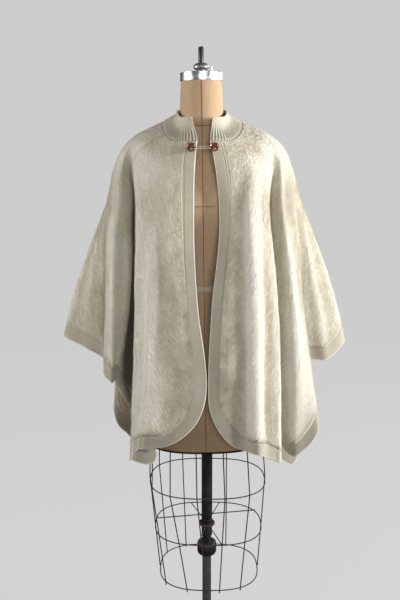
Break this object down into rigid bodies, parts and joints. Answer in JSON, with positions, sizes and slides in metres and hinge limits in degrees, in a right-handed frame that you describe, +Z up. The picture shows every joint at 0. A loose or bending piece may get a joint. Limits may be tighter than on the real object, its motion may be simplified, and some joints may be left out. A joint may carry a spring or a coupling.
{
  "type": "cape on dress form",
  "caption": "Open hip-length wool cape with a ribbed stand collar, knitted bands and a looped button closure, resting on a limbless dress form with a wire skirt cage on a post.",
  "frame": {"origin": "middle of the foot plate's flat underside, on the floor", "axes": "+Z up along the post, -Y towards the viewer out of the cape's open front, +X towards the wearer's left"},
  "size_m": [0.784, 0.44, 1.774],
  "materials": {
    "brushed_wool": "brushed nap, matt",
    "rib_knit": "rib knit, matt",
    "button": "polished, dark reddish brown",
    "cord": "matt",
    "linen": "plain weave, matt",
    "cap_metal": "spun, bright",
    "steel": "worn",
    "black_paint": "worn satin",
    "iron": "satin",
    "wire": "rusty, matt"
  },
  "bodies": {
    "root": {"back": "brushed_wool", "band_back": "rib_knit", "band_front_left": "rib_knit", "band_front_right": "rib_knit", "brace_arm_1": "wire", "brace_arm_2": "wire", "brace_arm_3": "wire", "brace_arm_4": "wire", "brace_ring": "wire", "brace_wire": "wire", "button_left": "button", "button_right": "button", "cap_nut": "steel", "cap_pin": "steel", "cap_rod": "black_paint", "closure_loop": "cord", "collar": "rib_knit", "foot_plate": "iron", "front_left": "brushed_wool", "front_right": "brushed_wool", "hip_rim": "black_paint", "hoop_bottom": "wire", "hoop_middle": "wire", "hoop_top": "wire", "neck_cap": "cap_metal", "post_pole": "steel", "post_sleeve": "black_paint", "sleeve_collar": "black_paint", "torso": "linen", "wire_back_1": "wire", "wire_back_2": "wire", "wire_front_1": "wire", "wire_front_2": "wire", "wire_front_3": "wire", "wire_front_4": "wire", "wire_left": "wire", "wire_right": "wire", "wire_right_back": "wire", "wire_right_front": "wire"}
  },
  "joints": []
}
